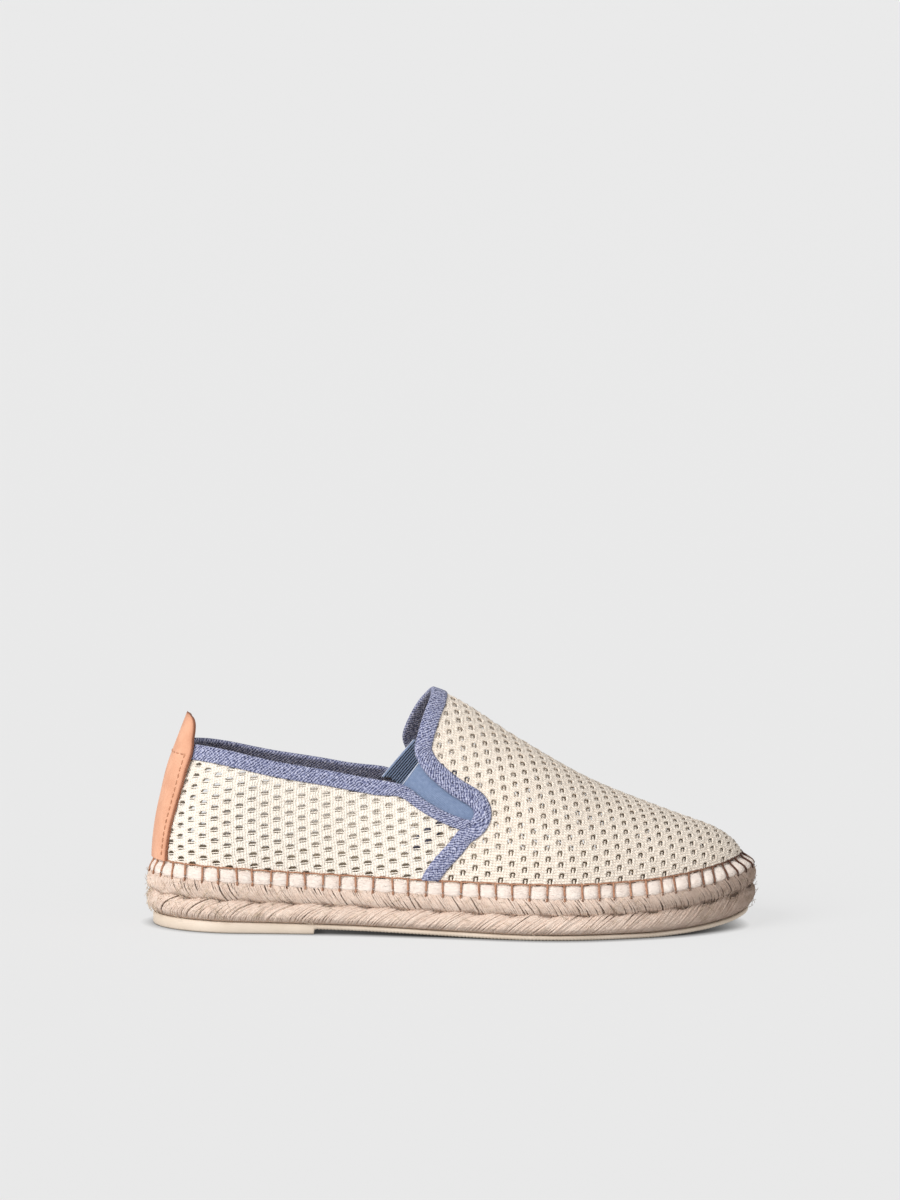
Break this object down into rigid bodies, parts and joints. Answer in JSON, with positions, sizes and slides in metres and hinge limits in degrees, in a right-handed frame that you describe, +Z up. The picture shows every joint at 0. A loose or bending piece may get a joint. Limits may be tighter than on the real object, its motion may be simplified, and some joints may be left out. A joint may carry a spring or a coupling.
{
  "type": "espadrille",
  "caption": "Slip-on espadrille with an open net upper, bound edges, elastic gores, a heel tab and a braided jute sole on thin rubber; right foot.",
  "frame": {"origin": "middle of the shoe's bounding box, on the floor", "axes": "+X from heel to toe, +Y towards the inner side of the right foot, +Z up"},
  "size_m": [0.285, 0.1032, 0.1113],
  "materials": {
    "outsole_rubber": "matt cream rubber, fine ribs across the forefoot",
    "jute_braid": "raw braided jute rope, fuzzy",
    "cotton_band": "plain cotton tape held by blanket stitches in brown thread",
    "insole_linen": "plain woven linen",
    "net_fabric": "cream open net over a light lining",
    "elastic": "blue-grey elastic, smooth outside and ribbed inside",
    "twill_tape": "slate-blue twill tape",
    "strip_leather": "smooth peach leather with an edge stitch"
  },
  "bodies": {
    "root": {"outsole": "outsole_rubber", "jute_sole": "jute_braid", "edge_band": "cotton_band", "insole": "insole_linen", "upper": "net_fabric", "gore_outer_side": "elastic", "gore_inner_side": "elastic", "collar_binding": "twill_tape", "vamp_binding": "twill_tape", "heel_strip": "strip_leather"}
  },
  "joints": []
}
